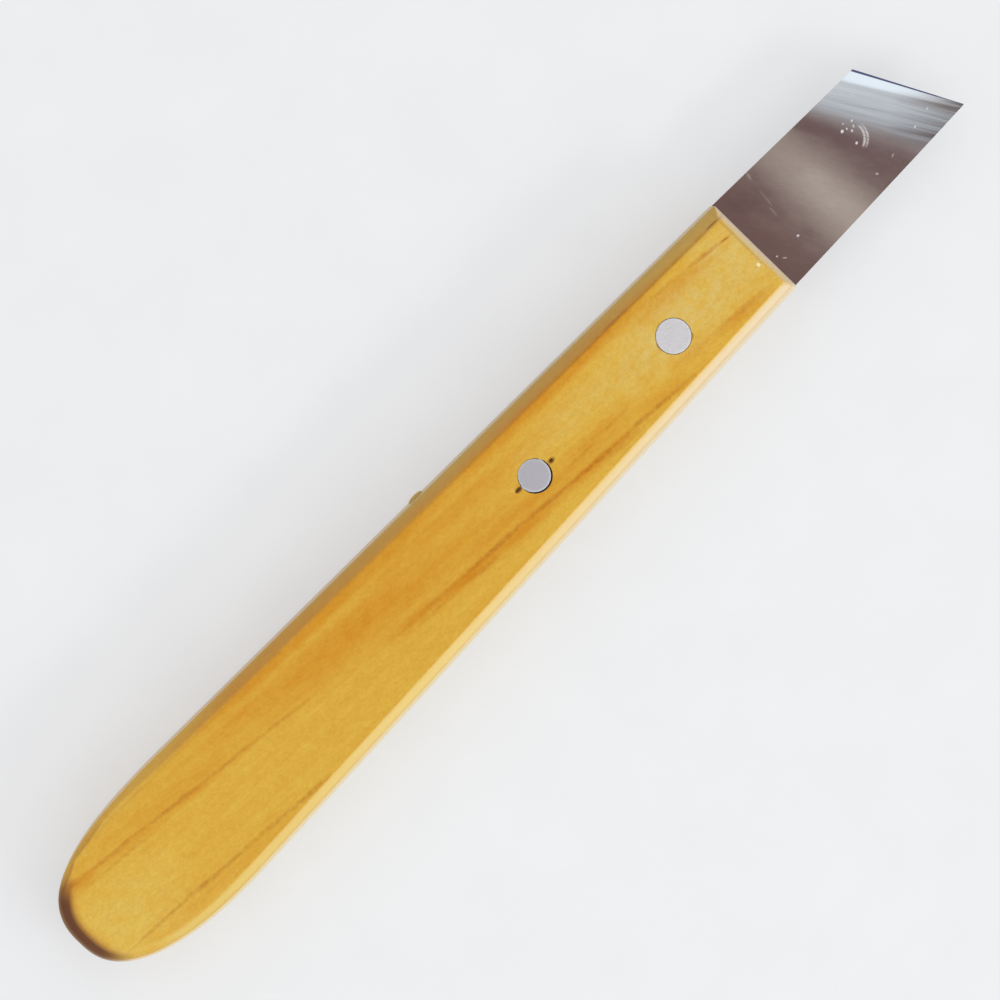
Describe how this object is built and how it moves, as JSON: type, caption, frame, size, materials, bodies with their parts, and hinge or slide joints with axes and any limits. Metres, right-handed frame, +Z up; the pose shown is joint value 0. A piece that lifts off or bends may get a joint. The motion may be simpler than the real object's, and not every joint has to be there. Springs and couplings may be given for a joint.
{
  "type": "carving knife",
  "caption": "Wood carving knife with a short skew steel blade, its tang riveted in the slot of a tapered wooden handle with a rounded butt, for chip carving.",
  "frame": {"origin": "on the plane of the handle's lower flat, under the middle of the knife's length and width", "axes": "+X along the handle towards the blade's point, +Y towards the blade's blunt back, +Z up from the flat that the knife lies on"},
  "size_m": [0.165, 0.0216, 0.012],
  "materials": {
    "fruitwood": "clear-varnished fruitwood",
    "blade_steel": "polished, with a ground bevel",
    "rivet_aluminium": "sanded flush"
  },
  "bodies": {
    "root": {"handle": "fruitwood", "blade": "blade_steel", "rivet_front": "rivet_aluminium", "rivet_rear": "rivet_aluminium"}
  },
  "joints": []
}
